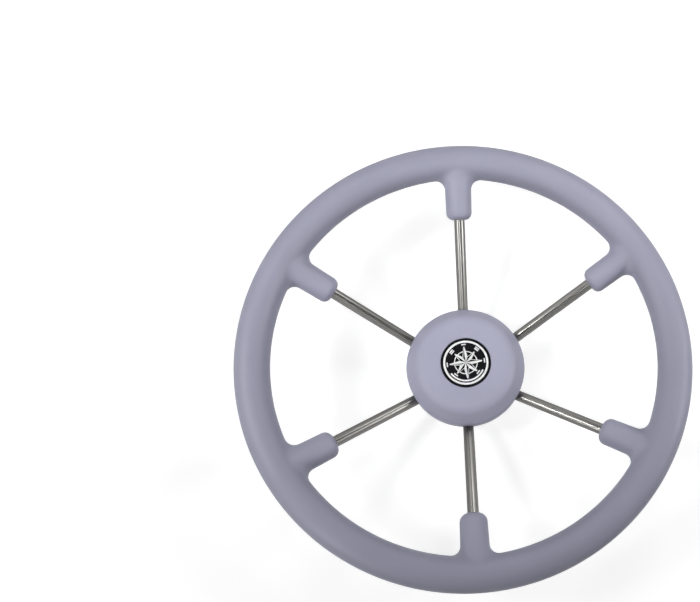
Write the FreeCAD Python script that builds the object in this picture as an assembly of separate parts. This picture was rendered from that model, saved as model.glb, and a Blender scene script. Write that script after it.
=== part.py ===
import FreeCAD, Part
import math
import os

# A dished six spoke boat wheel lying on the back face of its boss
# Z is the wheel axis and points at the person steering, Y points to the top spoke
# The origin is the centre of the back face of the boss

# Rim and grip
RIM_DIAMETER = 400.0
GRIP_DIAMETER = 29.5
DISH = 88.0
CORE_DIAMETER = 10.0

# Spokes
SPOKE_COUNT = 6
SPOKE_DIAMETER = 10.0
SPOKE_ROOT_HEIGHT = 15.7
TOP_SPOKE_ANGLE = 90.0

# Sleeves moulded on the grip
SLEEVE_LENGTH = 51.5
SLEEVE_END_DIAMETER = 24.2
SLEEVE_ROOT_DIAMETER = 25.6
SLEEVE_END_ROUND = 6.5
SLEEVE_ROOT_FILLET = 7.0

# Boss with the shaft taper
BOSS_DIAMETER = 46.0
BOSS_HEIGHT = 32.0
BOSS_EDGE = 1.0
NECK_DIAMETER = 40.0
NECK_HEIGHT = 12.0
TAPER_LARGE_DIAMETER = 19.05
TAPER_RATIO = 12.0
TAPER_LENGTH = 28.0
NUT_POCKET_DIAMETER = 33.0
KEYWAY_WIDTH = 4.8
KEYWAY_DEPTH = 2.4

# Hub cover
COVER_DIAMETER = 113.6
COVER_FACE_DIAMETER = 89.6
COVER_HEIGHT = 26.4
COVER_SKIRT = 9.5
COVER_WALL = 11.0
COVER_FACE_SLOPE = 3.0
COVER_EDGE_RADIUS = 14.0
COVER_BELLY_RADIUS = 8.0
COVER_BASE_RADIUS = 6.8
COVER_FIT = 0.3

# Cap with the compass rose
CAP_DIAMETER = 47.0
CAP_HEAD = 3.0
CAP_PLUG = 5.0
CAP_EDGE = 0.5
CAP_FIT = 0.15
INLAY_DEPTH = 0.3
RING_INSET = 2.5
RING_WIDTH = 1.9
MARK_GAP = 1.1
MARK_LENGTH = 4.3
MARK_WIDTH = 1.2
MARK_SPACING = 1.7
ARC_GAP = 1.2
ARC_WIDTH = 1.5
ARC_SPAN = 120.0
ROSE_GAP = 1.3
POINT_STEP = 2.1
POINT_TIP_WIDTH = 1.1
VALLEY_INSET = 7.0
HOOP_INSET = 2.4
HOOP_WIDTH = 0.8
ROSE_RELIEF = 0.8
CAP_TURN = 4.7
WIND_COUNT = 8

# Places closer together than this count as one
NEAR = 0.05

# Sizes that follow from the ones above
RIM_RADIUS = (RIM_DIAMETER - GRIP_DIAMETER) / 2.0
BOSS_RADIUS = BOSS_DIAMETER / 2.0
SPOKE_RUN = RIM_RADIUS - BOSS_RADIUS
SPOKE_RISE = DISH - SPOKE_ROOT_HEIGHT
SPOKE_LENGTH = math.hypot(SPOKE_RUN, SPOKE_RISE)
STEP_ANGLE = 360.0 / SPOKE_COUNT
COVER_BASE = BOSS_HEIGHT - COVER_SKIRT
CAP_TOP = BOSS_HEIGHT + COVER_HEIGHT
SEAT_RADIUS = CAP_DIAMETER / 2.0 + CAP_FIT
NECK_RADIUS = NECK_DIAMETER / 2.0
RING_OUTER_RADIUS = CAP_DIAMETER / 2.0 - RING_INSET
RING_INNER_RADIUS = RING_OUTER_RADIUS - RING_WIDTH
MARK_RADIUS = RING_INNER_RADIUS - MARK_GAP - MARK_WIDTH / 2.0
ARC_OUTER_RADIUS = RING_INNER_RADIUS - ARC_GAP
ARC_INNER_RADIUS = ARC_OUTER_RADIUS - ARC_WIDTH
LOWER_MARK_RADIUS = ARC_INNER_RADIUS - MARK_GAP - MARK_WIDTH / 2.0
LONG_POINT = ARC_INNER_RADIUS - ROSE_GAP
SHORT_POINT = LONG_POINT - POINT_STEP
HOOP_RADIUS = SHORT_POINT - HOOP_INSET
VALLEY_RADIUS = SHORT_POINT - VALLEY_INSET
WIND_ANGLE = 360.0 / WIND_COUNT

UP = FreeCAD.Vector(0, 0, 1)
CENTRE = FreeCAD.Vector(0, 0, 0)


def point(x, y, z):
    return FreeCAD.Vector(x, y, z)


def turned(shape, angle):
    copy = shape.copy()
    copy.rotate(CENTRE, UP, angle)
    return copy


def round_the_wheel(shape):
    return [turned(shape, TOP_SPOKE_ANGLE + STEP_ANGLE * k) for k in range(SPOKE_COUNT)]


def ring_of_bar(major_radius, minor_radius, height):
    return Part.makeTorus(major_radius, minor_radius, point(0, 0, height), UP)


def write(shape, name):
    if not shape.isValid():
        raise RuntimeError(name + " is not a valid shape")
    shape.exportStep("parts/" + name + ".step")


# Spoke direction, seen from the rim centre line towards the boss
def spoke_direction():
    return point(-SPOKE_RUN, 0, -SPOKE_RISE).normalize()


def rim_point():
    return point(RIM_RADIUS, 0, DISH)


# Steel ring inside the grip
def rim_core():
    return ring_of_bar(RIM_RADIUS, CORE_DIAMETER / 2.0, DISH)


# Straight bar from the rim centre line into the boss, before its ends are fitted
def spoke_bar():
    reach = SPOKE_LENGTH + SPOKE_DIAMETER
    return Part.makeCylinder(SPOKE_DIAMETER / 2.0, reach, rim_point(), spoke_direction())


# Both ends of a spoke are cut to the round of the ring and the boss they are welded to
def spoke(core):
    boss_body = Part.makeCylinder(BOSS_RADIUS, BOSS_HEIGHT)
    return spoke_bar().cut(core).cut(boss_body)


# One sleeve with a round end, in line with its spoke
def sleeve():
    root = SLEEVE_ROOT_DIAMETER / 2.0
    end = SLEEVE_END_DIAMETER / 2.0
    body = Part.makeCone(root, end, SLEEVE_LENGTH, rim_point(), spoke_direction())
    end_centre = rim_point() + spoke_direction() * SLEEVE_LENGTH
    rims = [e for e in body.Edges if e.Closed and e.CenterOfMass.distanceToPoint(end_centre) < NEAR]
    return body.makeFillet(SLEEVE_END_ROUND, rims)


# The line where a sleeve meets the grip lies on the grip and isn't a plain circle
def is_sleeve_root(edge):
    middle = edge.valueAt((edge.FirstParameter + edge.LastParameter) / 2.0)
    from_axis = math.hypot(middle.x, middle.y)
    distance = math.hypot(from_axis - RIM_RADIUS, middle.z - DISH)
    on_grip = abs(distance - GRIP_DIAMETER / 2.0) < NEAR
    return on_grip and edge.Curve.TypeId != "Part::GeomCircle"


# Soft grip moulded over the ring and the spoke ends in one piece
def rim_grip(core):
    grip = ring_of_bar(RIM_RADIUS, GRIP_DIAMETER / 2.0, DISH)
    body = grip.multiFuse(round_the_wheel(sleeve()))
    body = body.makeFillet(SLEEVE_ROOT_FILLET, [e for e in body.Edges if is_sleeve_root(e)])
    for bar in round_the_wheel(spoke_bar()):
        body = body.cut(bar)
    return body.cut(core)


# Boss with a neck for the cover, a nut pocket in front and the shaft taper behind
def boss():
    height = BOSS_HEIGHT + NECK_HEIGHT
    small_radius = (TAPER_LARGE_DIAMETER - TAPER_LENGTH / TAPER_RATIO) / 2.0
    large_radius = TAPER_LARGE_DIAMETER / 2.0
    pocket_radius = NUT_POCKET_DIAMETER / 2.0
    outline = Part.makePolygon([
        point(large_radius, 0, 0),
        point(BOSS_RADIUS - BOSS_EDGE, 0, 0),
        point(BOSS_RADIUS, 0, BOSS_EDGE),
        point(BOSS_RADIUS, 0, BOSS_HEIGHT),
        point(NECK_RADIUS, 0, BOSS_HEIGHT),
        point(NECK_RADIUS, 0, height),
        point(pocket_radius, 0, height),
        point(pocket_radius, 0, TAPER_LENGTH),
        point(small_radius, 0, TAPER_LENGTH),
        point(large_radius, 0, 0),
    ])
    body = Part.Face(outline).revolve(CENTRE, UP, 360)
    corner = point(-KEYWAY_WIDTH / 2.0, 0, 0)
    keyway = Part.makeBox(KEYWAY_WIDTH, large_radius + KEYWAY_DEPTH, TAPER_LENGTH, corner)
    return body.cut(keyway)


# Circular edge of a turned body that runs through a corner of its outline
def circle_through(body, corner):
    return [e for e in body.Edges if e.Closed and e.Vertexes[0].Point.distanceToPoint(corner) < NEAR]


# Button shaped cover with a bore over the neck, a seat for the cap in its nearly flat face
# and a skirt round the boss that the spokes pass through
def hub_cover():
    face_radius = COVER_FACE_DIAMETER / 2.0
    face_fall = (face_radius - SEAT_RADIUS) * math.tan(math.radians(COVER_FACE_SLOPE))
    face_corner = point(face_radius, 0, CAP_TOP - face_fall)
    wall_top = point(COVER_DIAMETER / 2.0, 0, BOSS_HEIGHT + COVER_WALL)
    wall_foot = point(COVER_DIAMETER / 2.0, 0, COVER_BASE)
    outline = Part.makePolygon([
        point(SEAT_RADIUS, 0, CAP_TOP),
        face_corner,
        wall_top,
        wall_foot,
        point(BOSS_RADIUS + COVER_FIT, 0, COVER_BASE),
        point(BOSS_RADIUS + COVER_FIT, 0, BOSS_HEIGHT),
        point(NECK_RADIUS, 0, BOSS_HEIGHT),
        point(NECK_RADIUS, 0, CAP_TOP - CAP_HEAD),
        point(SEAT_RADIUS, 0, CAP_TOP - CAP_HEAD),
        point(SEAT_RADIUS, 0, CAP_TOP),
    ])
    body = Part.Face(outline).revolve(CENTRE, UP, 360)
    body = body.makeFillet(COVER_EDGE_RADIUS, circle_through(body, face_corner))
    body = body.makeFillet(COVER_BELLY_RADIUS, circle_through(body, wall_top))
    body = body.makeFillet(COVER_BASE_RADIUS, circle_through(body, wall_foot))
    for bar in round_the_wheel(spoke_bar()):
        body = body.cut(bar)
    return body


# Cap pressed into the cover over the nut, with shallow beds for the printed parts
def badge_cap():
    radius = CAP_DIAMETER / 2.0
    plug_radius = NECK_RADIUS - CAP_FIT
    head_base = CAP_TOP - CAP_HEAD
    outline = Part.makePolygon([
        point(0, 0, CAP_TOP),
        point(radius - CAP_EDGE, 0, CAP_TOP),
        point(radius, 0, CAP_TOP - CAP_EDGE),
        point(radius, 0, head_base),
        point(plug_radius, 0, head_base),
        point(plug_radius, 0, head_base - CAP_PLUG),
        point(0, 0, head_base - CAP_PLUG),
        point(0, 0, CAP_TOP),
    ])
    body = Part.Face(outline).revolve(CENTRE, UP, 360)
    for inlay in [badge_ring(), compass_marks(), rose_bed()]:
        body = body.cut(inlay)
    return body


def flat_ring(outer, inner, base, height):
    outside = Part.makeCylinder(outer, height, point(0, 0, base))
    return outside.cut(Part.makeCylinder(inner, height, point(0, 0, base)))


# White ring near the edge of the cap
def badge_ring():
    return flat_ring(RING_OUTER_RADIUS, RING_INNER_RADIUS, CAP_TOP - INLAY_DEPTH, INLAY_DEPTH)


def mark_bar(radius, angle):
    corner = point(-MARK_LENGTH / 2.0, radius - MARK_WIDTH / 2.0, CAP_TOP - INLAY_DEPTH)
    bar = Part.makeBox(MARK_LENGTH, MARK_WIDTH, INLAY_DEPTH, corner)
    return turned(bar, CAP_TURN + angle)


# Single bars at three main directions, double ones at the two upper diagonals,
# and an arc below with a single bar inside it at each lower diagonal
def compass_marks():
    marks = [lower_arc(CAP_TOP - INLAY_DEPTH)]
    for k in range(-2, 3):
        marks.append(mark_bar(MARK_RADIUS, WIND_ANGLE * k))
    for k in (-1, 1):
        marks.append(mark_bar(MARK_RADIUS - MARK_SPACING, WIND_ANGLE * k))
        marks.append(mark_bar(LOWER_MARK_RADIUS, 3 * WIND_ANGLE * k))
    return Part.makeCompound(marks)


def lower_arc(base):
    outside = Part.makeCylinder(ARC_OUTER_RADIUS, INLAY_DEPTH, point(0, 0, base), UP, ARC_SPAN)
    hole = Part.makeCylinder(ARC_INNER_RADIUS, INLAY_DEPTH, point(0, 0, base))
    start = CAP_TURN - 90.0 - ARC_SPAN / 2.0
    return turned(outside.cut(hole), start)


# Star outline with four long points and four short ones between them, all with blunt tips
def rose_corners(base):
    corners = []
    half_tip = POINT_TIP_WIDTH / 2.0
    half_step = math.radians(WIND_ANGLE / 2.0)
    valley = point(VALLEY_RADIUS * math.cos(half_step), VALLEY_RADIUS * math.sin(half_step), base)
    for k in range(WIND_COUNT):
        length = LONG_POINT if k % 2 == 0 else SHORT_POINT
        for corner in (point(length, -half_tip, base), point(length, half_tip, base), valley):
            turn = FreeCAD.Rotation(UP, WIND_ANGLE * k + CAP_TURN)
            corners.append(turn.multVec(corner))
    return corners


# Star and the hoop that ties its points together, let into the cap
def rose_bed():
    base = CAP_TOP - INLAY_DEPTH
    corners = rose_corners(base)
    face = Part.Face(Part.makePolygon(corners + corners[:1]))
    hoop = flat_ring(HOOP_RADIUS + HOOP_WIDTH / 2.0, HOOP_RADIUS - HOOP_WIDTH / 2.0, base, INLAY_DEPTH)
    return face.extrude(UP * INLAY_DEPTH).fuse(hoop)


# Rose in low relief, each point with two slopes that meet in a ridge
def compass_rose():
    corners = rose_corners(CAP_TOP)
    apex = point(0, 0, CAP_TOP + ROSE_RELIEF)
    faces = [Part.Face(Part.makePolygon(corners + corners[:1]))]
    for i in range(len(corners)):
        nearby = corners[(i + 1) % len(corners)]
        faces.append(Part.Face(Part.makePolygon([corners[i], nearby, apex, corners[i]])))
    relief = Part.makeSolid(Part.makeShell(faces))
    return relief.fuse(rose_bed()).removeSplitter()


if __name__ == "__main__":
    os.makedirs("parts", exist_ok=True)
    core = rim_core()
    write(core, "rim_core")
    write(rim_grip(core), "rim_grip")
    spokes = round_the_wheel(spoke(core))
    for number, bar in enumerate(spokes, 1):
        write(bar, "spoke_" + str(number))
    write(boss(), "boss")
    write(hub_cover(), "hub_cover")
    write(badge_cap(), "badge_cap")
    write(badge_ring(), "badge_ring")
    write(compass_marks(), "compass_marks")
    write(compass_rose(), "compass_rose")
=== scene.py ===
import math

import bmesh
import bpy
import numpy as np
from mathutils import Matrix, Vector

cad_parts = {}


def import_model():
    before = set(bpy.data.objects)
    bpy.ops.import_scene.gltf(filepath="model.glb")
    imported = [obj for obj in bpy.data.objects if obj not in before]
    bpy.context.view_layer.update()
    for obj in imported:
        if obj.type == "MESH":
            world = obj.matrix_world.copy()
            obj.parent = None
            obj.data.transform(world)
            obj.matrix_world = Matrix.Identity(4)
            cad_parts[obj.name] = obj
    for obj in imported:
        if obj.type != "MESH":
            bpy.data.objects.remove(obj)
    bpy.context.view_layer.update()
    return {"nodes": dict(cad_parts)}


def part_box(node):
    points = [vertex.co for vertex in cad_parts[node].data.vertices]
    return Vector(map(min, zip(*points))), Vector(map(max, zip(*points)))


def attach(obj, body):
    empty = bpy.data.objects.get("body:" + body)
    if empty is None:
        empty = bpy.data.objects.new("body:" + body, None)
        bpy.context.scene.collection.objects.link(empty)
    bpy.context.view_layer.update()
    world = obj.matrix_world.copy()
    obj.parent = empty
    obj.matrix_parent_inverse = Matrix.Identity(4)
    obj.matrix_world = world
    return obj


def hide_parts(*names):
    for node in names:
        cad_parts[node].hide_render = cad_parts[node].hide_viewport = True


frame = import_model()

# A dished boat wheel that lies on the back of its boss, seen from the front
# Lengths are in metres, Z is the wheel axis and Y points to the top spoke

# Photograph and camera
PHOTO_WIDTH = 700
PHOTO_HEIGHT = 602
FOCAL_PIXELS = 568.454
CENTRE_PIXEL = (480.979, 388.038)
SENSOR_WIDTH = 36.0
NEAR_CLIP = 0.01
CAMERA_PLACE = Vector((-0.0094966, -0.1201678, 0.5738243))
CAMERA_RIGHT = Vector((0.9981282, -0.0509857, 0.0337727))
CAMERA_DOWN = Vector((-0.0439460, -0.9819989, -0.1837033))
CAMERA_FORWARD = Vector((0.0425310, 0.1818753, -0.9824014))

# Sizes read from the frame
CORE_LOW, CORE_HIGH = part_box("rim_core")
COVER_LOW, COVER_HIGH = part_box("hub_cover")
GRIP_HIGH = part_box("rim_grip")[1]
CAP_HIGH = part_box("badge_cap")[1]
BOSS_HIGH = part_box("boss")[1]
ROSE_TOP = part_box("compass_rose")[1].z
CORE_RADIUS = (CORE_HIGH.z - CORE_LOW.z) / 2
DISH = (CORE_HIGH.z + CORE_LOW.z) / 2
RIM_RADIUS = CORE_HIGH.x - CORE_RADIUS
GRIP_RADIUS = GRIP_HIGH.z - DISH
BOSS_RADIUS = BOSS_HIGH.x
COVER_RADIUS = COVER_HIGH.x
CAP_RADIUS = CAP_HIGH.x
CAP_TOP = CAP_HIGH.z
CAP_FIT = 0.00015
BOSS_NECK_RADIUS = 0.020
BOSS_SHOULDER = 0.032

# Spokes and sleeves
SPOKE_COUNT = 6
STEP_ANGLE = math.tau / SPOKE_COUNT
TOP_SPOKE_ANGLE = math.pi / 2
SPOKE_RADIUS = 0.005
SPOKE_ROOT_HEIGHT = 0.0157
SLEEVE_LENGTH = 0.0515
SLEEVE_ROOT_RADIUS = 0.0128
SLEEVE_END_RADIUS = 0.0121
SLEEVE_END_ROUND = 0.0065
SLEEVE_BLEND = 0.0085
DIMPLE_DEPTH = 0.0007
DIMPLE_WIDTH = 0.0014
SPOKE_TILT = math.atan2(DISH - SPOKE_ROOT_HEIGHT, RIM_RADIUS - BOSS_RADIUS)
SPOKE_SLOPE = math.tan(SPOKE_TILT)
SPOKE_COS = math.cos(SPOKE_TILT)
SPOKE_SIN = math.sin(SPOKE_TILT)

# Hub cover
COVER_FACE_RADIUS = 0.0448
COVER_FACE_SLOPE = math.radians(3)
COVER_WALL = 0.0205
COVER_EDGE_ROUND = 0.014
COVER_BELLY_ROUND = 0.008
COVER_BASE_ROUND = 0.0068
COVER_SEAT_DEPTH = 0.003
COVER_FIT = 0.0003
COVER_CRISP = 0.0003
ROUND_STEPS = 12
COVER_SEGMENTS = 192

# Compass rose
ROSE_POINTS = 8
CORNERS_PER_POINT = 3
LONG_POINT = 0.0151
SHORT_POINT = 0.0130
POINT_TIP_WIDTH = 0.0011
VALLEY_RADIUS = 0.0060
ROSE_TURN = math.radians(4.7)
ROSE_BORDER = 0.00045
HOOP_RADIUS = 0.0106
HOOP_WIDTH = 0.0008
HOOP_CROWN = 0.0001
HOOP_SEGMENTS = 96
INLAY_DEPTH = 0.0003
MERGE_DISTANCE = 1e-7

# Weld beads round the roots of the spokes
BEAD_RADIUS = 0.0014
BEAD_RIPPLES = 22
BEAD_RIPPLE_DEPTH = 0.14
BEAD_STEPS = 132
BEAD_SIDES = 10

# Mesh of the grip
GRIP_VOXEL = 0.0017
ROUGH_SIDES = 24
ROUGH_SEGMENTS = 180
ROD_MOUTH = 0.0078
MOUTH_CUTS = 3
PROJECT_STEPS = 6
EVEN_ROUNDS = 4
EVEN_STEPS = 2
EVEN_SHARE = 0.5
STEEPEST_LEAN = 0.95
PROBE = 0.00001
TINY = 1e-9
FAR_AWAY = 1.0

# Colours, linear
GREY_LAVENDER = (0.376, 0.376, 0.486)
STEEL_POLISHED = (0.25, 0.245, 0.232)
STEEL_EDGE_TINT = (0.25, 0.25, 0.25)
STEEL_TURNED = (0.55, 0.55, 0.55)
WELD_STRAW = (0.46, 0.36, 0.24)
WELD_BLUE = (0.42, 0.43, 0.46)
CAP_BLACK = (0.008, 0.008, 0.010)
ENAMEL_WHITE = (0.92, 0.92, 0.92)
ENAMEL_THIN = 0.72

# Finishes, with scales per metre
GRAIN_SCALE = 620
GRAIN_SOFTNESS = 0.6
GRAIN_SHARE = 0.7
PORE_SCALE = 1900
RIDGE_HEIGHT = 1.4
RIDGE_FOOT = 0.00045
RIDGE_CREST = 0.00008
LINE_AND_BAND_STRETCH = (2, 700, 700)
TURNED_MARKS = 3600
SCRATCH_SCALE = 260
HATCH_STEP = 0.0007
HATCH_DEPTH = 0.3

# Stage and lamps, whose powers are in watts
FLOOR_SIZE = 9.0
FLOOR_LEVEL = -0.0005
STAGE_COLOUR = (0.45, 0.45, 0.45)
STAGE_GLOW_FAR = 1.0
STAGE_GLOW_NEAR = 0.77
GLOW_NEAR_RADIUS = 0.2
GLOW_FAR_RADIUS = 0.45
BACKDROP_RADIUS = 3.6
BACKDROP_HEIGHT = 3.1
BACKDROP_SEGMENTS = 96
WORLD_STRENGTH = 0.06
FAR_LAMP_SIZE = 0.14
NEAR_LAMP_SIZE = 0.1
LEFT_LAMP_PLACE = (-0.6, 0, 0.7)
RIGHT_LAMP_PLACE = (0.78, 0, 0.52)
LOWER_LAMP_PLACE = (-0.55, -0.55, 0.52)
TOP_LEFT_LAMP_PLACE = (-0.2, 0.3, 0.45)
TOP_RIGHT_LAMP_PLACE = (0.2, 0.3, 0.45)
FRONT_LAMP_PLACE = (0, -0.25, 0.9)
HUB_AIM = (0, 0, 0.07)
SIDE_AIM = (0, 0.02, 0.07)
LEFT_AIM = (0, 0.05, 0.07)
FRONT_AIM = (0.02, 0.08, 0.07)
OPEN_SPREAD = math.radians(180)
SIDE_SPREAD = math.radians(60)
LEFT_SPREAD = math.radians(50)
FRONT_SPREAD = math.radians(40)
LEFT_LAMP_POWER = 0.28
RIGHT_LAMP_POWER = 0.295
LOWER_LAMP_POWER = 0.17
TOP_LEFT_LAMP_POWER = 0.175
TOP_RIGHT_LAMP_POWER = 0.505
FRONT_LAMP_POWER = 0.09


# Material with a plain shader, whose values the nodes of each finish then vary
def new_material(name, colour, roughness, metallic=0.0):
    material = bpy.data.materials.new(name)
    material.use_nodes = True
    shader = material.node_tree.nodes["Principled BSDF"]
    shader.inputs["Base Color"].default_value = (*colour, 1)
    shader.inputs["Roughness"].default_value = roughness
    shader.inputs["Metallic"].default_value = metallic
    return material


def add_node(material, kind, **values):
    node = material.node_tree.nodes.new(kind)
    for name, value in values.items():
        if name in node.inputs:
            node.inputs[name].default_value = value
        else:
            setattr(node, name, value)
    return node


def link(material, source, output, target, socket):
    material.node_tree.links.new(source.outputs[output], target.inputs[socket])


def coordinates(material):
    return add_node(material, "ShaderNodeTexCoord")


def noise(material, where, scale, detail, roughness=0.5):
    node = add_node(material, "ShaderNodeTexNoise")
    node.inputs["Scale"].default_value = scale
    node.inputs["Detail"].default_value = detail
    node.inputs["Roughness"].default_value = roughness
    link(material, where, "Object", node, "Vector")
    return node


# Turns the middle range of a texture into the range from dark to light
def ramp(material, source, dark, light, low=0.3, high=0.7, output=0):
    node = add_node(material, "ShaderNodeMapRange")
    node.inputs["From Min"].default_value = low
    node.inputs["From Max"].default_value = high
    node.inputs["To Min"].default_value = dark
    node.inputs["To Max"].default_value = light
    link(material, source, output, node, "Value")
    return node


# Base colour that varies between two shades of one colour
def tinted(material, colour, amount, low, high):
    shader = material.node_tree.nodes["Principled BSDF"]
    mix = add_node(material, "ShaderNodeMix", data_type="RGBA")
    mix.inputs["A"].default_value = (*[c * low for c in colour], 1)
    mix.inputs["B"].default_value = (*[min(1, c * high) for c in colour], 1)
    link(material, amount, 0, mix, "Factor")
    material.node_tree.links.new(mix.outputs["Result"], shader.inputs["Base Color"])


# Fine relief from a height, which is a socket
def bumped(material, height, strength, distance):
    shader = material.node_tree.nodes["Principled BSDF"]
    bump = add_node(material, "ShaderNodeBump")
    bump.inputs["Strength"].default_value = strength
    bump.inputs["Distance"].default_value = distance
    material.node_tree.links.new(height, bump.inputs["Height"])
    link(material, bump, "Normal", shader, "Normal")


def math_node(material, operation, first, second=None, third=None):
    node = add_node(material, "ShaderNodeMath", operation=operation)
    for socket, value in enumerate((first, second, third)):
        if value is None:
            continue
        if isinstance(value, (int, float)):
            node.inputs[socket].default_value = value
        else:
            material.node_tree.links.new(value, node.inputs[socket])
    return node.outputs[0]


# Distance from the wheel's axis and height, as sockets
def axis_and_height(material):
    split = add_node(material, "ShaderNodeSeparateXYZ")
    link(material, coordinates(material), "Object", split, "Vector")
    across, deep, height = split.outputs
    square = math_node(material, "ADD", math_node(material, "MULTIPLY", across, across),
                       math_node(material, "MULTIPLY", deep, deep))
    return math_node(material, "SQRT", square), height


# Height of a narrow ridge along the parting face of the mould
def parting_ridge(material):
    from_axis, height = axis_and_height(material)
    inward = math_node(material, "MAXIMUM", math_node(material, "SUBTRACT", RIM_RADIUS, from_axis), 0)
    level = math_node(material, "SUBTRACT", DISH, math_node(material, "MULTIPLY", inward, SPOKE_SLOPE))
    offset = math_node(material, "ABSOLUTE", math_node(material, "SUBTRACT", height, level))
    ridge = add_node(material, "ShaderNodeMapRange", interpolation_type="SMOOTHSTEP")
    ridge.inputs["From Min"].default_value = RIDGE_FOOT
    ridge.inputs["From Max"].default_value = RIDGE_CREST
    material.node_tree.links.new(offset, ridge.inputs["Value"])
    return ridge.outputs["Result"]


# Moulded polyurethane skin with a fine grain
def skin_material(name, with_ridge):
    material = new_material(name, GREY_LAVENDER, roughness=0.5)
    shader = material.node_tree.nodes["Principled BSDF"]
    where = coordinates(material)
    cloud = noise(material, where, scale=14, detail=3)
    tinted(material, GREY_LAVENDER, ramp(material, cloud, 0, 1), low=0.97, high=1.03)
    sheen = ramp(material, noise(material, where, scale=45, detail=3), dark=0.44, light=0.58)
    link(material, sheen, "Result", shader, "Roughness")
    grain = add_node(material, "ShaderNodeTexVoronoi", feature="SMOOTH_F1")
    grain.inputs["Scale"].default_value = GRAIN_SCALE
    grain.inputs["Smoothness"].default_value = GRAIN_SOFTNESS
    link(material, where, "Object", grain, "Vector")
    pores = noise(material, where, PORE_SCALE, detail=3, roughness=0.6)
    height = math_node(material, "ADD",
                       math_node(material, "MULTIPLY", grain.outputs["Distance"], GRAIN_SHARE),
                       math_node(material, "MULTIPLY", pores.outputs[0], 1 - GRAIN_SHARE))
    if with_ridge:
        ridge = math_node(material, "MULTIPLY", parting_ridge(material), RIDGE_HEIGHT)
        height = math_node(material, "ADD", height, ridge)
    bumped(material, height, strength=0.35, distance=0.00012)
    return material


# Steel bar with drawn lines along it and a few faint smears, whose colour along the lines is also painted
# darker and lighter as reflection bands
def spoke_material(name, start, way):
    material = new_material(name, STEEL_POLISHED, roughness=0.32, metallic=1.0)
    shader = material.node_tree.nodes["Principled BSDF"]
    shader.inputs["Specular Tint"].default_value = (*STEEL_EDGE_TINT, 1)
    side = way.cross(Vector((0, 0, 1))).normalized()
    axes = Matrix((way, side, way.cross(side)))
    place = add_node(material, "ShaderNodeMapping")
    place.inputs["Rotation"].default_value = axes.to_euler()
    place.inputs["Location"].default_value = -(axes @ start)
    link(material, coordinates(material), "Object", place, "Vector")
    stretch = add_node(material, "ShaderNodeVectorMath", operation="MULTIPLY")
    stretch.inputs[1].default_value = LINE_AND_BAND_STRETCH
    link(material, place, "Vector", stretch, 0)
    lines_and_painted_bands = add_node(material, "ShaderNodeTexNoise")
    lines_and_painted_bands.inputs["Scale"].default_value = 1
    lines_and_painted_bands.inputs["Detail"].default_value = 2
    link(material, stretch, "Vector", lines_and_painted_bands, "Vector")
    smear = noise(material, coordinates(material), scale=25, detail=2)
    # The colour goes darker and lighter along the lines: partly the real drawn lines, partly painted
    # reflection bands of dark and bright surroundings
    tinted(material, STEEL_POLISHED, ramp(material, lines_and_painted_bands, 0, 1), low=0.65, high=1.2)
    lined = ramp(material, lines_and_painted_bands, dark=0.8, light=1.2)
    smeared = ramp(material, smear, dark=0.3, light=0.34, low=0.35, high=0.75)
    rough = math_node(material, "MULTIPLY", lined.outputs[0], smeared.outputs[0])
    material.node_tree.links.new(rough, shader.inputs["Roughness"])
    bumped(material, lines_and_painted_bands.outputs[0], strength=0.1, distance=0.00002)
    return material


# Steel with fine tool marks that run round the axis
def turned_material():
    material = new_material("turned_steel", STEEL_TURNED, roughness=0.3, metallic=1.0)
    shader = material.node_tree.nodes["Principled BSDF"]
    from_axis, height = axis_and_height(material)
    place = add_node(material, "ShaderNodeCombineXYZ")
    for socket, length in (("X", from_axis), ("Y", height)):
        scaled = math_node(material, "MULTIPLY", length, TURNED_MARKS)
        material.node_tree.links.new(scaled, place.inputs[socket])
    marks = add_node(material, "ShaderNodeTexNoise")
    marks.inputs["Scale"].default_value = 1
    marks.inputs["Detail"].default_value = 2
    link(material, place, "Vector", marks, "Vector")
    tinted(material, STEEL_TURNED, ramp(material, marks, 0, 1), low=0.85, high=1.08)
    link(material, ramp(material, marks, dark=0.24, light=0.4), "Result", shader, "Roughness")
    bumped(material, marks.outputs[0], strength=0.35, distance=0.00006)
    return material


# Weld metal with straw and blue heat colours
def weld_material():
    material = new_material("weld_metal", WELD_BLUE, roughness=0.35, metallic=1.0)
    shader = material.node_tree.nodes["Principled BSDF"]
    heat = noise(material, coordinates(material), scale=220, detail=4, roughness=0.6)
    tones = add_node(material, "ShaderNodeValToRGB")
    straw, blue = tones.color_ramp.elements
    straw.position = 0.35
    straw.color = (*WELD_STRAW, 1)
    blue.position = 0.62
    blue.color = (*WELD_BLUE, 1)
    link(material, heat, 0, tones, "Fac")
    link(material, tones, "Color", shader, "Base Color")
    link(material, ramp(material, heat, dark=0.28, light=0.45), "Result", shader, "Roughness")
    bumped(material, heat.outputs[0], strength=0.3, distance=0.0001)
    return material


# Moulded plastic with a polished face and hairline scratches
def gloss_material(name, colour, roughness):
    material = new_material(name, colour, roughness)
    shader = material.node_tree.nodes["Principled BSDF"]
    where = coordinates(material)
    dust = noise(material, where, scale=700, detail=4, roughness=0.7)
    tinted(material, colour, ramp(material, dust, 0, 1, low=0.45, high=0.8), low=0.9, high=1.3)
    dusty = ramp(material, dust, dark=roughness * 0.8, light=roughness * 1.5, high=0.8)
    link(material, dusty, "Result", shader, "Roughness")
    scratches = add_node(material, "ShaderNodeTexVoronoi", feature="DISTANCE_TO_EDGE")
    scratches.inputs["Scale"].default_value = SCRATCH_SCALE
    link(material, where, "Object", scratches, "Vector")
    scratched = ramp(material, scratches, 0, 1, low=0, high=0.03, output="Distance")
    bumped(material, scratched.outputs[0], strength=0.05, distance=0.00003)
    return material


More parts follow.
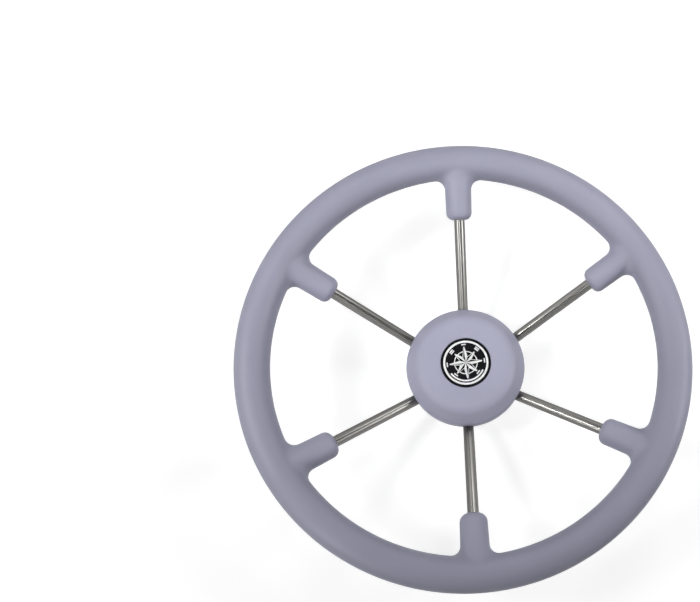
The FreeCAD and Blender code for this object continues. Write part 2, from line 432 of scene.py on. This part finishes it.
# Enamel that is a little thinner and greyer in places
def enamel_material(name, with_hatch):
    material = new_material(name, ENAMEL_WHITE, roughness=0.32)
    shader = material.node_tree.nodes["Principled BSDF"]
    worn = noise(material, coordinates(material), scale=900, detail=4, roughness=0.65)
    tone = ramp(material, worn, dark=0.3, light=1, high=0.62).outputs[0]
    if with_hatch:
        from_axis, _ = axis_and_height(material)
        phase = math_node(material, "MULTIPLY", from_axis, math.tau / HATCH_STEP)
        wave = math_node(material, "SINE", phase)
        hatch = math_node(material, "MULTIPLY_ADD", wave, HATCH_DEPTH, 1 - HATCH_DEPTH)
        tone = math_node(material, "MULTIPLY", tone, hatch)
    mix = add_node(material, "ShaderNodeMix", data_type="RGBA")
    mix.inputs["A"].default_value = (*[c * ENAMEL_THIN for c in ENAMEL_WHITE], 1)
    mix.inputs["B"].default_value = (*ENAMEL_WHITE, 1)
    material.node_tree.links.new(tone, mix.inputs["Factor"])
    material.node_tree.links.new(mix.outputs["Result"], shader.inputs["Base Color"])
    link(material, ramp(material, worn, dark=0.28, light=0.4), "Result", shader, "Roughness")
    bumped(material, worn.outputs[0], strength=0.1, distance=0.00004)
    return material


MATERIALS = {
    "skin": skin_material("moulded_skin", True),
    "cover_skin": skin_material("cover_skin", False),
    "turned": turned_material(),
    "weld": weld_material(),
    "black": gloss_material("gloss_black", CAP_BLACK, roughness=0.16),
    "white": enamel_material("white_enamel", False),
    "hatched": enamel_material("hatched_enamel", True),
}


def dress(node, material):
    obj = frame["nodes"][node]
    obj.data.materials.clear()
    obj.data.materials.append(material)


# Middle of the rim and direction inwards for each spoke, in the order of their nodes
def spoke_axes():
    for k in range(SPOKE_COUNT):
        azimuth = TOP_SPOKE_ANGLE + STEP_ANGLE * k
        out = Vector((math.cos(azimuth), math.sin(azimuth), 0))
        start = out * RIM_RADIUS + Vector((0, 0, DISH))
        yield start, -out * SPOKE_COS - Vector((0, 0, SPOKE_SIN))


for number, (start, way) in enumerate(spoke_axes(), 1):
    dress("spoke_" + str(number), spoke_material("drawn_steel_" + str(number), start, way))
dress("rim_core", MATERIALS["turned"])
dress("boss", MATERIALS["turned"])
dress("badge_cap", MATERIALS["black"])
dress("badge_ring", MATERIALS["white"])
dress("compass_marks", MATERIALS["white"])


# Rows of points as seen from the nearest spoke: outwards, sideways and up
def spoke_frame(points):
    azimuth = np.arctan2(points[:, 1], points[:, 0]) - TOP_SPOKE_ANGLE
    azimuth -= STEP_ANGLE * np.round(azimuth / STEP_ANGLE)
    from_axis = np.hypot(points[:, 0], points[:, 1])
    return from_axis * np.cos(azimuth), from_axis * np.sin(azimuth), points[:, 2]


# Distance to the ring's skin, negative inside, and the direction away from its middle line
def ring_distance(out, side, up):
    from_axis = np.hypot(out, side)
    across = from_axis - RIM_RADIUS
    length = np.hypot(across, up - DISH) + TINY
    normal = np.stack([across * out / from_axis, across * side / from_axis, up - DISH]) / length
    return length - GRIP_RADIUS, normal


# The same for a sleeve, which has a round end with a dimple round the rod
def sleeve_distance(out, side, up):
    along = (RIM_RADIUS - out) * SPOKE_COS + (DISH - up) * SPOKE_SIN
    below = (out - RIM_RADIUS) * SPOKE_SIN - (up - DISH) * SPOKE_COS
    from_rod = np.hypot(below, side) + TINY
    taper = (SLEEVE_ROOT_RADIUS - SLEEVE_END_RADIUS) / SLEEVE_LENGTH
    radius = SLEEVE_ROOT_RADIUS - taper * np.maximum(along, 0)
    near_rod = np.clip((SPOKE_RADIUS + DIMPLE_WIDTH - from_rod) / DIMPLE_WIDTH, 0, 1)
    length = SLEEVE_LENGTH - DIMPLE_DEPTH * near_rod ** 2
    beyond_side = from_rod - (radius - SLEEVE_END_ROUND)
    beyond_end = along - (length - SLEEVE_END_ROUND)
    outside = np.hypot(np.maximum(beyond_side, 0), np.maximum(beyond_end, 0))
    inside = np.minimum(np.maximum(beyond_side, beyond_end), 0)
    normal = np.stack([below * SPOKE_SIN, side, -below * SPOKE_COS]) / from_rod
    return np.where(along > 0, outside + inside - SLEEVE_END_ROUND, FAR_AWAY), normal


# Where ring and sleeve meet, a ball of the blend radius rolls along both
def grip_distance(points):
    place = spoke_frame(points)
    ring, ring_normal = ring_distance(*place)
    sleeve, sleeve_normal = sleeve_distance(*place)
    lean = np.clip((ring_normal * sleeve_normal).sum(axis=0), -STEEPEST_LEAN, STEEPEST_LEAN)
    to_ring = SLEEVE_BLEND - ring
    to_sleeve = SLEEVE_BLEND - sleeve
    between = (to_ring > lean * to_sleeve) & (to_sleeve > lean * to_ring)
    between &= (to_ring > 0) & (to_sleeve > 0)
    square = to_ring ** 2 + to_sleeve ** 2 - 2 * lean * to_ring * to_sleeve
    rolled = SLEEVE_BLEND - np.sqrt(np.maximum(square, 0) / (1 - lean ** 2))
    return np.where(between, rolled, np.minimum(ring, sleeve))


# Slope of a distance at each point
def slope_of(distance, points):
    slope = np.empty_like(points)
    for axis in range(3):
        step = np.zeros(3)
        step[axis] = PROBE
        slope[:, axis] = (distance(points + step) - distance(points - step)) / (2 * PROBE)
    return slope


# Points moved step by step onto the skin that a distance describes
def drawn_onto(distance, points, steps):
    for _ in range(steps):
        slope = slope_of(distance, points)
        length = (slope ** 2).sum(axis=1) + TINY
        points = points - slope * (distance(points) / length)[:, None]
    return points


# Vertices slide towards the middle of their neighbours, so that the mesh is even
def evened(points, edges, share):
    total = np.zeros_like(points)
    count = np.zeros(len(points))
    for a, b in (edges.T, edges.T[::-1]):
        np.add.at(total, a, points[b])
        np.add.at(count, a, 1)
    return points + share * (total / count[:, None] - points)


def new_object(name, mesh):
    obj = bpy.data.objects.new(name, mesh)
    bpy.context.scene.collection.objects.link(obj)
    return obj


# Closed ring mesh from a closed outline of (distance from axis, height) pairs
def lathe(name, outline, segments):
    turn = math.tau / segments
    rows = len(outline)
    vertices = []
    for k in range(segments):
        vertices += [(r * math.cos(turn * k), r * math.sin(turn * k), z) for r, z in outline]
    faces = []
    for k in range(segments):
        here, there = k * rows, (k + 1) % segments * rows
        for i in range(rows):
            j = (i + 1) % rows
            faces.append((here + i, there + i, there + j, here + j))
    mesh = bpy.data.meshes.new(name)
    mesh.from_pydata(vertices, [], faces)
    return mesh


def circle_outline(radius, centre_out, centre_up, count):
    angles = [math.tau * k / count for k in range(count)]
    return [(centre_out + radius * math.cos(a), centre_up + radius * math.sin(a)) for a in angles]


# Ring and sleeves as plain overlapping solids, then one skin of even small faces over both
def rough_grip():
    outline = circle_outline(GRIP_RADIUS, RIM_RADIUS, DISH, ROUGH_SIDES)
    rough = bmesh.new()
    rough.from_mesh(lathe("ring", outline, ROUGH_SEGMENTS))
    for start, way in spoke_axes():
        turn = way.to_track_quat("Z", "Y").to_matrix().to_4x4()
        middle = Matrix.Translation(start + way * SLEEVE_LENGTH / 2) @ turn
        bmesh.ops.create_cone(
            rough, cap_ends=True, segments=ROUGH_SIDES, radius1=SLEEVE_ROOT_RADIUS,
            radius2=SLEEVE_END_RADIUS, depth=SLEEVE_LENGTH, matrix=middle)
    bmesh.ops.recalc_face_normals(rough, faces=rough.faces)
    mesh = bpy.data.meshes.new("rough")
    rough.to_mesh(mesh)
    rough.free()
    obj = new_object("rough", mesh)
    skin = obj.modifiers.new("skin", "REMESH")
    skin.mode = "VOXEL"
    skin.voxel_size = GRIP_VOXEL
    made = bpy.data.meshes.new_from_object(obj.evaluated_get(bpy.context.evaluated_depsgraph_get()))
    bpy.data.objects.remove(obj)
    return made


def mesh_points(mesh):
    flat = np.empty(len(mesh.vertices) * 3)
    mesh.vertices.foreach_get("co", flat)
    return flat.reshape(-1, 3)


def mesh_edges(mesh):
    flat = np.empty(len(mesh.edges) * 2, dtype=int)
    mesh.edges.foreach_get("vertices", flat)
    return flat.reshape(-1, 2)


# Smaller faces round each rod where it leaves its sleeve
def finer_mouths(mesh):
    fine = bmesh.new()
    fine.from_mesh(mesh)
    for start, way in spoke_axes():
        mouth = start + way * SLEEVE_LENGTH
        near = {v for v in fine.verts if (v.co - mouth).length < ROD_MOUTH}
        edges = [e for e in fine.edges if e.verts[0] in near and e.verts[1] in near]
        bmesh.ops.subdivide_edges(fine, edges=edges, cuts=MOUTH_CUTS, use_grid_fill=True)
    fine.to_mesh(mesh)
    fine.free()


# Moulded grip, drawn from the rough form onto the true one
def grip():
    mesh = rough_grip()
    edges = mesh_edges(mesh)
    points = drawn_onto(grip_distance, mesh_points(mesh), PROJECT_STEPS)
    for _ in range(EVEN_ROUNDS):
        points = drawn_onto(grip_distance, evened(points, edges, EVEN_SHARE), EVEN_STEPS)
    mesh.vertices.foreach_set("co", points.ravel())
    finer_mouths(mesh)
    points = drawn_onto(grip_distance, mesh_points(mesh), PROJECT_STEPS)
    mesh.vertices.foreach_set("co", points.ravel())
    mesh.name = "grip"
    obj = new_object("grip", mesh)
    mesh.materials.append(MATERIALS["skin"])
    mesh.shade_smooth()
    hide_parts("rim_grip")
    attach(obj, "root")


# Points of the arc that rounds an outline's corner between two neighbouring points
def rounded_corner(before, corner, after, radius):
    back = (before - corner).normalized()
    on = (after - corner).normalized()
    half = back.angle(on) / 2
    centre = corner + (back + on).normalized() * radius / math.sin(half)
    first = corner + back * radius / math.tan(half) - centre
    last = corner + on * radius / math.tan(half) - centre
    turn = -first.angle_signed(last)
    turns = [Matrix.Rotation(turn * k / ROUND_STEPS, 2) for k in range(ROUND_STEPS + 1)]
    return [centre + part @ first for part in turns]


# Moulded cover with a skirt round the boss, which the spokes pass through
def cover():
    base = COVER_LOW.z
    seat = CAP_RADIUS + CAP_FIT
    seat_floor = CAP_TOP - COVER_SEAT_DEPTH
    recess = BOSS_RADIUS + COVER_FIT
    face_fall = (COVER_FACE_RADIUS - seat) * math.tan(COVER_FACE_SLOPE)
    inner_foot = Vector((recess, base))
    foot = Vector((COVER_RADIUS, base))
    wall_top = Vector((COVER_RADIUS, base + COVER_WALL))
    face_edge = Vector((COVER_FACE_RADIUS, CAP_TOP - face_fall))
    seat_edge = Vector((seat, CAP_TOP))
    outline = [inner_foot]
    outline += rounded_corner(inner_foot, foot, wall_top, COVER_BASE_ROUND)
    outline += rounded_corner(foot, wall_top, face_edge, COVER_BELLY_ROUND)
    outline += rounded_corner(wall_top, face_edge, seat_edge, COVER_EDGE_ROUND)
    outline += [seat_edge, (seat, seat_floor), (BOSS_NECK_RADIUS, seat_floor)]
    outline += [(BOSS_NECK_RADIUS, BOSS_SHOULDER), (recess, BOSS_SHOULDER)]
    mesh = lathe("cover", outline, COVER_SEGMENTS)
    mesh.shade_smooth()
    mesh.materials.append(MATERIALS["cover_skin"])
    obj = new_object("cover", mesh)
    crisp = obj.modifiers.new("crisp", "BEVEL")
    crisp.width = COVER_CRISP
    crisp.segments = 2
    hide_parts("hub_cover")
    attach(obj, "root")


# Corners of the star: both ends of each point's tip and the valley after it
def star_corners():
    half = POINT_TIP_WIDTH / 2
    corners = []
    for k in range(ROSE_POINTS):
        length = LONG_POINT if k % 2 == 0 else SHORT_POINT
        angle = ROSE_TURN + math.tau * k / ROSE_POINTS
        tip = Matrix.Rotation(angle, 3, "Z")
        valley = Matrix.Rotation(angle + math.pi / ROSE_POINTS, 3, "Z")
        corners.append(tip @ Vector((length, -half, CAP_TOP)))
        corners.append(tip @ Vector((length, half, CAP_TOP)))
        corners.append(valley @ Vector((VALLEY_RADIUS, 0, CAP_TOP)))
    return corners


# Compass star in low relief, each point half white and half dark with a white border
def star_mesh():
    star = bmesh.new()
    apex = star.verts.new((0, 0, ROSE_TOP))
    corners = star_corners()
    rim = [star.verts.new(c) for c in corners]
    foot = [star.verts.new((c.x, c.y, CAP_TOP - INLAY_DEPTH)) for c in corners]
    count = len(rim)
    for k in range(0, count, CORNERS_PER_POINT):
        before, right, left, after = rim[k - 1], rim[k], rim[k + 1], rim[k + 2]
        star.faces.new((apex, before, right))
        star.faces.new((apex, right, left))
        flank = after.co - left.co
        from_apex = (left.co - apex.co).cross(flank).length / flank.length
        keep = 1 - ROSE_BORDER / from_apex
        inner_tip = star.verts.new(apex.co.lerp(left.co, keep))
        inner_valley = star.verts.new(apex.co.lerp(after.co, keep))
        star.faces.new((apex, inner_tip, inner_valley)).material_index = 1
        star.faces.new((inner_tip, left, after, inner_valley))
    for k in range(count):
        here, there = k, (k + 1) % count
        star.faces.new((rim[here], foot[here], foot[there], rim[there]))
    star.faces.new(foot[::-1])
    bmesh.ops.remove_doubles(star, verts=star.verts, dist=MERGE_DISTANCE)
    bmesh.ops.recalc_face_normals(star, faces=star.faces)
    mesh = bpy.data.meshes.new("rose")
    star.to_mesh(mesh)
    star.free()
    mesh.materials.append(MATERIALS["hatched"])
    mesh.materials.append(MATERIALS["black"])
    return mesh


# Thin hoop through the star, with a low crown
def hoop_mesh():
    inner, outer = HOOP_RADIUS - HOOP_WIDTH / 2, HOOP_RADIUS + HOOP_WIDTH / 2
    low, crown = CAP_TOP - INLAY_DEPTH, CAP_TOP + HOOP_CROWN
    outline = [(inner, low), (outer, low), (outer, CAP_TOP), (HOOP_RADIUS, crown), (inner, CAP_TOP)]
    mesh = lathe("rose_hoop", outline, HOOP_SEGMENTS)
    mesh.materials.append(MATERIALS["white"])
    return mesh


def rose():
    for part in (star_mesh(), hoop_mesh()):
        obj = new_object(part.name, part)
        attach(obj, "root")
        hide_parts("compass_rose")


# Points where a spoke's skin meets the boss, each with the direction out of the corner there
def bead_path(start, way):
    side = way.cross(Vector((0, 0, 1))).normalized()
    up = side.cross(way)
    path = []
    for k in range(BEAD_STEPS):
        angle = math.tau * k / BEAD_STEPS
        out = side * math.cos(angle) + up * math.sin(angle)
        skin = start + out * SPOKE_RADIUS
        a = way.x ** 2 + way.y ** 2
        b = skin.x * way.x + skin.y * way.y
        c = skin.x ** 2 + skin.y ** 2 - BOSS_RADIUS ** 2
        point = skin + way * ((-b - math.sqrt(b * b - a * c)) / a)
        wall = Vector((point.x, point.y, 0)).normalized()
        path.append((point, (out + wall).normalized()))
    return path


# Closed tube of rippled weld metal along such a path
def bead_mesh(name, path):
    vertices = []
    for k, (point, lean) in enumerate(path):
        ahead = path[(k + 1) % BEAD_STEPS][0] - path[k - 1][0]
        across = ahead.cross(lean).normalized()
        ripple = math.fabs(math.sin(math.pi * BEAD_RIPPLES * k / BEAD_STEPS))
        radius = BEAD_RADIUS * (1 - BEAD_RIPPLE_DEPTH * (1 - ripple))
        for m in range(BEAD_SIDES):
            turn = math.tau * m / BEAD_SIDES
            vertices.append(point + radius * (lean * math.cos(turn) + across * math.sin(turn)))
    faces = []
    for k in range(BEAD_STEPS):
        here, there = k * BEAD_SIDES, (k + 1) % BEAD_STEPS * BEAD_SIDES
        for m in range(BEAD_SIDES):
            n = (m + 1) % BEAD_SIDES
            faces.append((here + m, there + m, there + n, here + n))
    mesh = bpy.data.meshes.new(name)
    mesh.from_pydata(vertices, [], faces)
    mesh.shade_smooth()
    mesh.materials.append(MATERIALS["weld"])
    return mesh


def weld_beads():
    for number, (start, way) in enumerate(spoke_axes(), 1):
        mesh = bead_mesh("weld_bead_" + str(number), bead_path(start, way))
        obj = new_object(mesh.name, mesh)
        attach(obj, "root")


grip()
cover()
rose()
weld_beads()


# White stage that glows for the camera and in reflections, less round the object,
# where its shadow falls
def stage_material():
    material = new_material("stage_white", STAGE_COLOUR, roughness=0.9)
    shader = material.node_tree.nodes["Principled BSDF"]
    shader.inputs["Emission Color"].default_value = (1, 1, 1, 1)
    from_axis, _ = axis_and_height(material)
    amount = add_node(material, "ShaderNodeMapRange", interpolation_type="SMOOTHSTEP")
    amount.inputs["From Min"].default_value = GLOW_NEAR_RADIUS
    amount.inputs["From Max"].default_value = GLOW_FAR_RADIUS
    amount.inputs["To Min"].default_value = STAGE_GLOW_NEAR
    amount.inputs["To Max"].default_value = STAGE_GLOW_FAR
    material.node_tree.links.new(from_axis, amount.inputs["Value"])
    rays = add_node(material, "ShaderNodeLightPath").outputs
    seen = math_node(material, "ADD", rays["Is Camera Ray"], rays["Is Glossy Ray"])
    seen = math_node(material, "ADD", seen, rays["Is Transmission Ray"])
    seen = math_node(material, "MINIMUM", seen, 1)
    glow = math_node(material, "MULTIPLY", seen, amount.outputs["Result"])
    material.node_tree.links.new(glow, shader.inputs["Emission Strength"])
    return material


def floor_mesh():
    half = FLOOR_SIZE / 2
    square = [(-half, -half, FLOOR_LEVEL), (half, -half, FLOOR_LEVEL),
              (half, half, FLOOR_LEVEL), (-half, half, FLOOR_LEVEL)]
    mesh = bpy.data.meshes.new("floor")
    mesh.from_pydata(square, [], [(0, 1, 2, 3)])
    return mesh


# Round wall that stands on the floor
def backdrop_mesh():
    vertices = []
    faces = []
    for k in range(BACKDROP_SEGMENTS):
        turn = math.tau * k / BACKDROP_SEGMENTS
        across, deep = BACKDROP_RADIUS * math.cos(turn), BACKDROP_RADIUS * math.sin(turn)
        vertices += [(across, deep, FLOOR_LEVEL), (across, deep, BACKDROP_HEIGHT)]
        here, there = 2 * k, 2 * ((k + 1) % BACKDROP_SEGMENTS)
        faces.append((here, here + 1, there + 1, there))
    mesh = bpy.data.meshes.new("backdrop")
    mesh.from_pydata(vertices, [], faces)
    mesh.shade_smooth()
    return mesh


def stage():
    white = stage_material()
    for part in (floor_mesh(), backdrop_mesh()):
        part.materials.append(white)
        new_object(part.name, part)


# Square lamp that the camera doesn't see
def soft_lamp(name, place, target, size, spread, power):
    data = bpy.data.lights.new(name, "AREA")
    data.size = size
    data.spread = spread
    data.energy = power
    obj = new_object(name, data)
    obj.location = place
    aim = Vector(target) - Vector(place)
    obj.rotation_euler = aim.to_track_quat("-Z", "Y").to_euler()
    obj.visible_camera = False


# Dim even light from all round
def world():
    scene = bpy.context.scene
    scene.world = bpy.data.worlds.new("studio")
    scene.world.use_nodes = True
    background = scene.world.node_tree.nodes["Background"]
    background.inputs["Color"].default_value = (1, 1, 1, 1)
    background.inputs["Strength"].default_value = WORLD_STRENGTH


# Camera at the photograph's place, with the shift of its frame
def camera():
    data = bpy.data.cameras.new("camera")
    data.sensor_width = SENSOR_WIDTH
    data.lens = FOCAL_PIXELS * SENSOR_WIDTH / PHOTO_WIDTH
    data.shift_x = (PHOTO_WIDTH / 2 - CENTRE_PIXEL[0]) / PHOTO_WIDTH
    data.shift_y = (CENTRE_PIXEL[1] - PHOTO_HEIGHT / 2) / PHOTO_WIDTH
    data.clip_start = NEAR_CLIP
    obj = bpy.data.objects.new("camera", data)
    bpy.context.scene.collection.objects.link(obj)
    axes = Matrix((CAMERA_RIGHT, -CAMERA_DOWN, -CAMERA_FORWARD)).transposed()
    obj.matrix_world = Matrix.Translation(CAMERA_PLACE) @ axes.to_4x4()
    bpy.context.scene.camera = obj


stage()
soft_lamp("left_lamp", LEFT_LAMP_PLACE, LEFT_AIM, FAR_LAMP_SIZE, LEFT_SPREAD, LEFT_LAMP_POWER)
soft_lamp("right_lamp", RIGHT_LAMP_PLACE, SIDE_AIM, FAR_LAMP_SIZE, SIDE_SPREAD, RIGHT_LAMP_POWER)
soft_lamp("lower_lamp", LOWER_LAMP_PLACE, SIDE_AIM, FAR_LAMP_SIZE, SIDE_SPREAD, LOWER_LAMP_POWER)
soft_lamp("top_left_lamp", TOP_LEFT_LAMP_PLACE, HUB_AIM, NEAR_LAMP_SIZE, OPEN_SPREAD, TOP_LEFT_LAMP_POWER)
soft_lamp("top_right_lamp", TOP_RIGHT_LAMP_PLACE, HUB_AIM, NEAR_LAMP_SIZE, OPEN_SPREAD,
          TOP_RIGHT_LAMP_POWER)
soft_lamp("front_lamp", FRONT_LAMP_PLACE, FRONT_AIM, FAR_LAMP_SIZE, FRONT_SPREAD, FRONT_LAMP_POWER)
world()
camera()
bpy.context.scene.view_settings.view_transform = "Standard"
